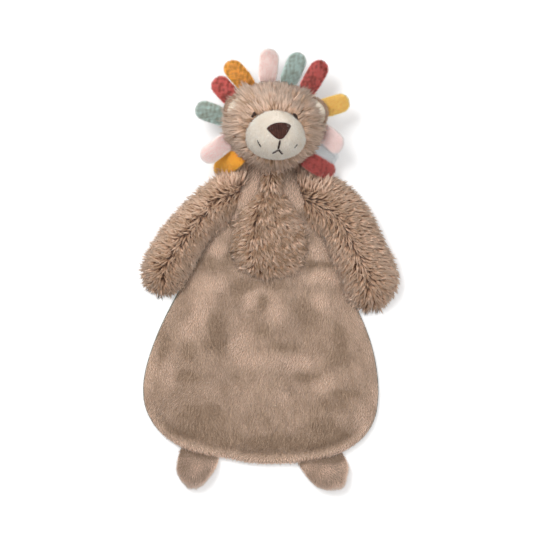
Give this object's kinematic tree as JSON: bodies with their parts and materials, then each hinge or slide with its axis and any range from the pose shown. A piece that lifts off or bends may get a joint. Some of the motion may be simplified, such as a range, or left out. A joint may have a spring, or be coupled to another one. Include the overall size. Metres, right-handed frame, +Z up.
{
  "type": "comfort blanket",
  "caption": "Plush lion comforter: stuffed head with a mane of padded tabs on a flat pear-shaped blanket body with two furry arms and two feet.",
  "frame": {"origin": "a point on the flat underside of the blanket, on its long axis, 145 mm from the hem", "axes": "+Z up out of the face with the toy lying on its back, +Y along the body towards the head, +X to the right seen from above"},
  "size_m": [0.1832, 0.3339, 0.063],
  "materials": {
    "long_pile": "long-pile taupe plush",
    "blanket_plush": "short-pile taupe plush with a soft sheen",
    "backing": "smooth grey-green velour",
    "wadding": "polyester filling",
    "cream_plush": "short-pile cream plush",
    "nose_thread": "satin-stitched dark brown thread",
    "dark_thread": "near-black embroidery thread",
    "pink_plush": "short-pile plush",
    "sage_plush": "short-pile plush",
    "red_plush": "short-pile plush",
    "mustard_plush": "short-pile plush"
  },
  "bodies": {
    "blanket": {"blanket_back_panel": "backing", "blanket_front_panel": "blanket_plush", "blanket_wadding": "wadding", "chest_tuft": "long_pile"},
    "head": {"head_front_cover": "long_pile", "head_back_cover": "long_pile", "head_filling": "wadding", "muzzle_cover": "cream_plush", "muzzle_filling": "wadding", "nose": "nose_thread", "mouth_stitch": "dark_thread", "left_smile_stitch": "dark_thread", "right_smile_stitch": "dark_thread", "left_eye": "dark_thread", "right_eye": "dark_thread"},
    "left_ear_flap": {"left_ear": "long_pile", "left_ear_inner": "cream_plush"},
    "right_ear_flap": {"right_ear": "long_pile", "right_ear_inner": "cream_plush"},
    "left_arm": {"left_arm_cover": "long_pile", "left_arm_filling": "wadding"},
    "right_arm": {"right_arm_cover": "long_pile", "right_arm_filling": "wadding"},
    "left_foot": {"left_foot_cover": "blanket_plush", "left_foot_filling": "wadding"},
    "right_foot": {"right_foot_cover": "blanket_plush", "right_foot_filling": "wadding"},
    "mane_tab_01_pink": {"mane_tab_01_pink": "pink_plush"},
    "mane_tab_02_sage": {"mane_tab_02_sage": "sage_plush"},
    "mane_tab_03_red": {"mane_tab_03_red": "red_plush"},
    "mane_tab_04_mustard": {"mane_tab_04_mustard": "mustard_plush"},
    "mane_tab_05_pink": {"mane_tab_05_pink": "pink_plush"},
    "mane_tab_06_sage": {"mane_tab_06_sage": "sage_plush"},
    "mane_tab_07_red": {"mane_tab_07_red": "red_plush"},
    "mane_tab_08_mustard": {"mane_tab_08_mustard": "mustard_plush"},
    "mane_tab_09_pink": {"mane_tab_09_pink": "pink_plush"},
    "mane_tab_10_sage": {"mane_tab_10_sage": "sage_plush"},
    "mane_tab_11_red": {"mane_tab_11_red": "red_plush"},
    "mane_tab_12_mustard": {"mane_tab_12_mustard": "mustard_plush"}
  },
  "joints": [
    {"name": "head_nod", "type": "hinge", "parent": "blanket", "child": "head", "pos_m": [0, 0.086, 0.0089], "axis": [1, 0, 0], "range_deg": [-30, 20]},
    {"name": "left_arm_lift", "type": "hinge", "parent": "blanket", "child": "left_arm", "pos_m": [-0.03272, 0.05413, 0.0014], "axis": [0.3238, 0.9461, 0], "range_deg": [-25, 65]},
    {"name": "left_foot_fold", "type": "hinge", "parent": "blanket", "child": "left_foot", "pos_m": [-0.04262, -0.14265, 0.0014], "axis": [-0.9778, 0.2096, 0], "range_deg": [-60, 70]},
    {"name": "left_ear_fold", "type": "hinge", "parent": "head", "child": "left_ear_flap", "pos_m": [-0.026, 0.11795, 0.0395], "axis": [0.3256, 0.9455, 0], "range_deg": [0, 40]},
    {"name": "right_arm_lift", "type": "hinge", "parent": "blanket", "child": "right_arm", "pos_m": [0.03272, 0.05413, 0.0014], "axis": [0.3238, -0.9461, 0], "range_deg": [-25, 65]},
    {"name": "right_foot_fold", "type": "hinge", "parent": "blanket", "child": "right_foot", "pos_m": [0.04797, -0.14132, 0.0014], "axis": [-0.9688, -0.2478, 0], "range_deg": [-60, 70]},
    {"name": "right_ear_fold", "type": "hinge", "parent": "head", "child": "right_ear_flap", "pos_m": [0.026, 0.11795, 0.0395], "axis": [0.3256, -0.9455, 0], "range_deg": [0, 40]},
    {"name": "tab_01_flap", "type": "hinge", "parent": "head", "child": "mane_tab_01_pink", "pos_m": [-0.00666, 0.13953, 0.0245], "axis": [0.9985, -0.0553, 0], "range_deg": [-35, 35]},
    {"name": "tab_02_flap", "type": "hinge", "parent": "head", "child": "mane_tab_02_sage", "pos_m": [0.00847, 0.1386, 0.02447], "axis": [0.9588, -0.2841, 0], "range_deg": [-35, 35]},
    {"name": "tab_03_flap", "type": "hinge", "parent": "head", "child": "mane_tab_03_red", "pos_m": [0.02216, 0.13314, 0.0245], "axis": [0.9097, -0.4153, 0], "range_deg": [-35, 35]},
    {"name": "tab_04_flap", "type": "hinge", "parent": "head", "child": "mane_tab_04_mustard", "pos_m": [0.03228, 0.12097, 0.02445], "axis": [0.354, -0.9352, 0], "range_deg": [-35, 0]},
    {"name": "tab_05_flap", "type": "hinge", "parent": "head", "child": "mane_tab_05_pink", "pos_m": [0.03559, 0.10502, 0.02453], "axis": [-0.4362, -0.8999, 0], "range_deg": [0, 35]},
    {"name": "tab_06_flap", "type": "hinge", "parent": "head", "child": "mane_tab_06_sage", "pos_m": [0.0309, 0.09491, 0.02427], "axis": [-0.5656, -0.8247, 0], "range_deg": [-15, 0]},
    {"name": "tab_07_flap", "type": "hinge", "parent": "head", "child": "mane_tab_07_red", "pos_m": [0.02394, 0.08488, 0.02452], "axis": [-0.4254, -0.905, 0], "range_deg": [0, 35]},
    {"name": "tab_08_flap", "type": "hinge", "parent": "head", "child": "mane_tab_08_mustard", "pos_m": [-0.02326, 0.08559, 0.02439], "axis": [-0.6602, 0.7511, 0], "range_deg": [-10, 0]},
    {"name": "tab_09_flap", "type": "hinge", "parent": "head", "child": "mane_tab_09_pink", "pos_m": [-0.0326, 0.09608, 0.02452], "axis": [-0.6862, 0.7274, 0], "range_deg": [0, 35]},
    {"name": "tab_10_flap", "type": "hinge", "parent": "head", "child": "mane_tab_10_sage", "pos_m": [-0.03547, 0.11127, 0.02446], "axis": [0.2977, 0.9547, 0], "range_deg": [-35, 0]},
    {"name": "tab_11_flap", "type": "hinge", "parent": "head", "child": "mane_tab_11_red", "pos_m": [-0.03065, 0.12464, 0.02446], "axis": [0.7102, 0.704, 0], "range_deg": [-35, 0]},
    {"name": "tab_12_flap", "type": "hinge", "parent": "head", "child": "mane_tab_12_mustard", "pos_m": [-0.0197, 0.13452, 0.0245], "axis": [0.7832, 0.6218, 0], "range_deg": [-35, 35]}
  ]
}
